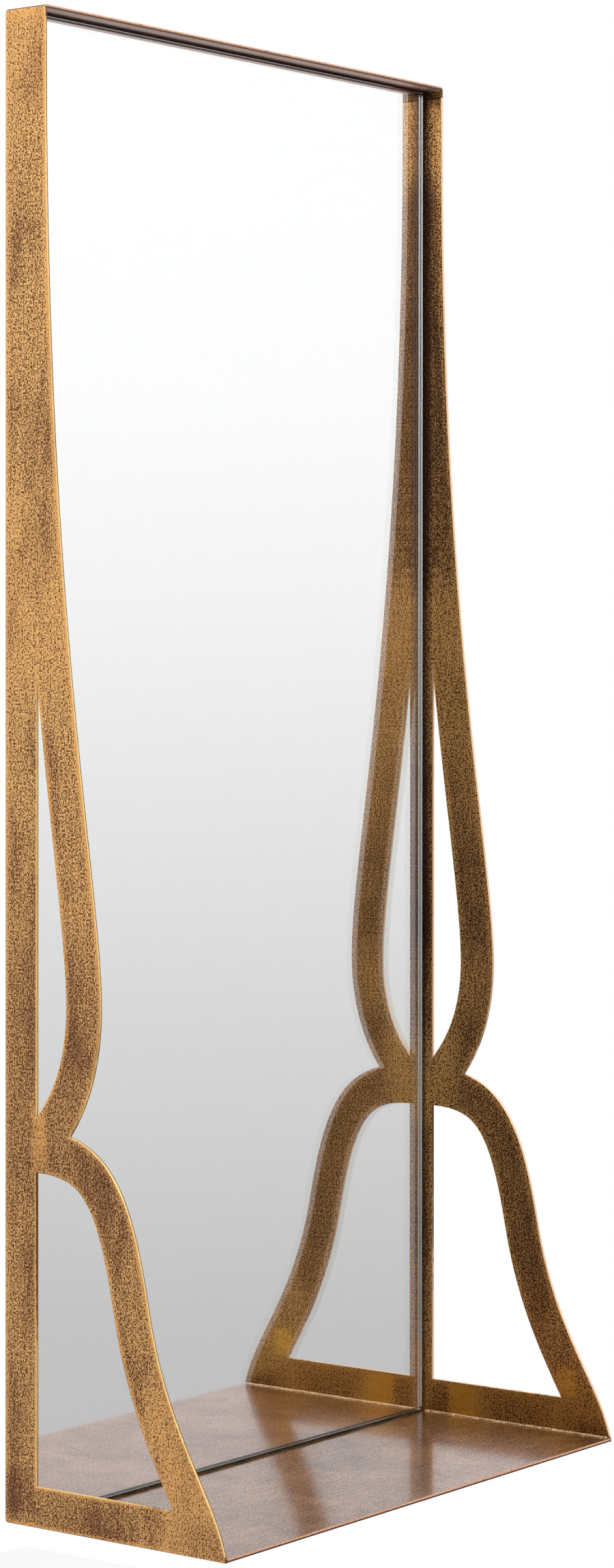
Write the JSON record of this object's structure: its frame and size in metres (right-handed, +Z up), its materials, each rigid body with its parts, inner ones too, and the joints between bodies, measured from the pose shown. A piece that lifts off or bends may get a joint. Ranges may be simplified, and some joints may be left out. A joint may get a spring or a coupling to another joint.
{
  "type": "wall mirror",
  "caption": "Tall iron framed wall mirror with a shelf plate at the foot and scrolled side panels with a leaf and a bell cut-out.",
  "frame": {"origin": "on the wall plane, midway between the two round keyholes that hang the mirror", "axes": "+X toward the viewer's right, +Y into the wall, +Z up"},
  "size_m": [0.5, 0.204, 1.1],
  "materials": {
    "side_iron": "antique brass patina on iron, speckled dark brown, worn gold at the edges",
    "top_iron": "antique brass patina on iron, darker and satin",
    "shelf_iron": "satin brown patina on iron with a fine grain",
    "weld_bead": "worn gold over a ground weld",
    "mirror_glass": "clear float glass, polished, ground arris",
    "silver_back": "silvered, bright",
    "backing_board": "bare fibreboard",
    "bracket_iron": "dark brown patina on iron",
    "screw_steel": "zinc plated"
  },
  "bodies": {
    "root": {"left_side_panel": "side_iron", "right_side_panel": "side_iron", "top_bar": "top_iron", "shelf": "shelf_iron", "shelf_weld_left": "weld_bead", "shelf_weld_right": "weld_bead", "mirror_glass": "mirror_glass", "silvered_back": "silver_back", "backing_board": "backing_board", "tab_left_top": "bracket_iron", "tab_left_middle": "bracket_iron", "tab_left_bottom": "bracket_iron", "tab_right_top": "bracket_iron", "tab_right_middle": "bracket_iron", "tab_right_bottom": "bracket_iron", "tab_top_left": "bracket_iron", "tab_top_right": "bracket_iron", "tab_bottom_left": "bracket_iron", "tab_bottom_right": "bracket_iron", "board_screws": "screw_steel", "hanger_left": "bracket_iron", "hanger_right": "bracket_iron"}
  },
  "joints": []
}
